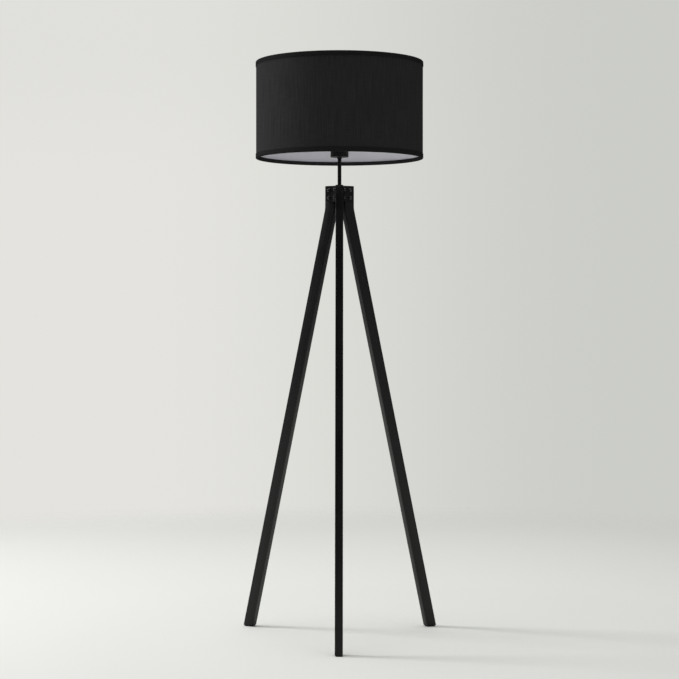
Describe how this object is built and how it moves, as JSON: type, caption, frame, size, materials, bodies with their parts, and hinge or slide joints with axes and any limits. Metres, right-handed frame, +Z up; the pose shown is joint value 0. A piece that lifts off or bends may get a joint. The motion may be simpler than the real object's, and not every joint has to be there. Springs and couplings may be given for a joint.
{
  "type": "tripod floor lamp",
  "caption": "Floor lamp with splayed rectangular wooden legs bolted to a steel hub, a thin tube, a screw-in lampholder in a metal cup and a fabric drum shade.",
  "frame": {"origin": "on the floor, at the centre of the rectangle that the lamp takes up in plan", "axes": "+Z up along the tube; -Y towards the front leg; +X towards the right leg as seen from the front"},
  "size_m": [0.5214, 0.5142, 1.5],
  "materials": {
    "leg_wood": "painted satin black",
    "black_steel": "satin black powder coat",
    "bolt_steel": "dark nickel, satin",
    "zinc_steel": "bright zinc plated",
    "white_wire": "white coated, satin",
    "black_plastic": "fine matte",
    "brass": "plain",
    "nickel": "nickel plated, bright",
    "foot_rubber": "matte",
    "shade_fabric": "plain woven black textile with slubs",
    "shade_liner": "white film, matte",
    "opal_glass": "opal, satin",
    "white_plastic": "satin"
  },
  "bodies": {
    "stand": {"cable_outlet_bush": "black_plastic", "centre_contact": "brass", "cup_lock_nut": "zinc_steel", "foot_pad_front": "foot_rubber", "foot_pad_left": "foot_rubber", "foot_pad_right": "foot_rubber", "holder_base": "black_plastic", "holder_cup": "black_steel", "holder_insert": "white_plastic", "holder_skirt": "black_plastic", "hub_bracket": "black_steel", "leg_bolt_front_lower": "bolt_steel", "leg_bolt_front_upper": "bolt_steel", "leg_bolt_left_lower": "bolt_steel", "leg_bolt_left_upper": "bolt_steel", "leg_bolt_right_lower": "bolt_steel", "leg_bolt_right_upper": "bolt_steel", "leg_front": "leg_wood", "leg_left": "leg_wood", "leg_right": "leg_wood", "lower_lock_nut": "zinc_steel", "lower_washer": "zinc_steel", "shell_contact": "nickel", "sleeve_nut_front_lower": "bolt_steel", "sleeve_nut_front_upper": "bolt_steel", "sleeve_nut_left_lower": "bolt_steel", "sleeve_nut_left_upper": "bolt_steel", "sleeve_nut_right_lower": "bolt_steel", "sleeve_nut_right_upper": "bolt_steel", "stem_tube": "black_steel", "terminal_screw_left": "brass", "terminal_screw_right": "brass", "upper_lock_nut": "zinc_steel", "upper_washer": "zinc_steel"},
    "shade_ring": {"shade_ring": "black_plastic"},
    "shade": {"hem_bottom": "shade_fabric", "hem_top": "shade_fabric", "shade_fabric": "shade_fabric", "shade_liner": "shade_liner", "shade_spider": "white_wire", "shade_top_wire": "white_wire"},
    "bulb": {"bulb_globe": "opal_glass", "bulb_housing": "white_plastic", "bulb_insulator": "black_plastic", "bulb_screw_cap": "nickel", "bulb_tip_contact": "brass"}
  },
  "joints": [
    {"name": "shade_turn", "type": "hinge", "parent": "stand", "child": "shade", "pos_m": [0, 0.03815, 1.293], "axis": [0, 0, 1], "continuous": true},
    {"name": "shade_ring_turn", "type": "hinge", "parent": "stand", "child": "shade_ring", "pos_m": [0, 0.03815, 1.298], "axis": [0, 0, 1], "range_deg": [0, 960]},
    {"name": "bulb_turn", "type": "hinge", "parent": "stand", "child": "bulb", "pos_m": [0, 0.03815, 1.305], "axis": [0, 0, 1], "range_deg": [0, 1080]}
  ]
}
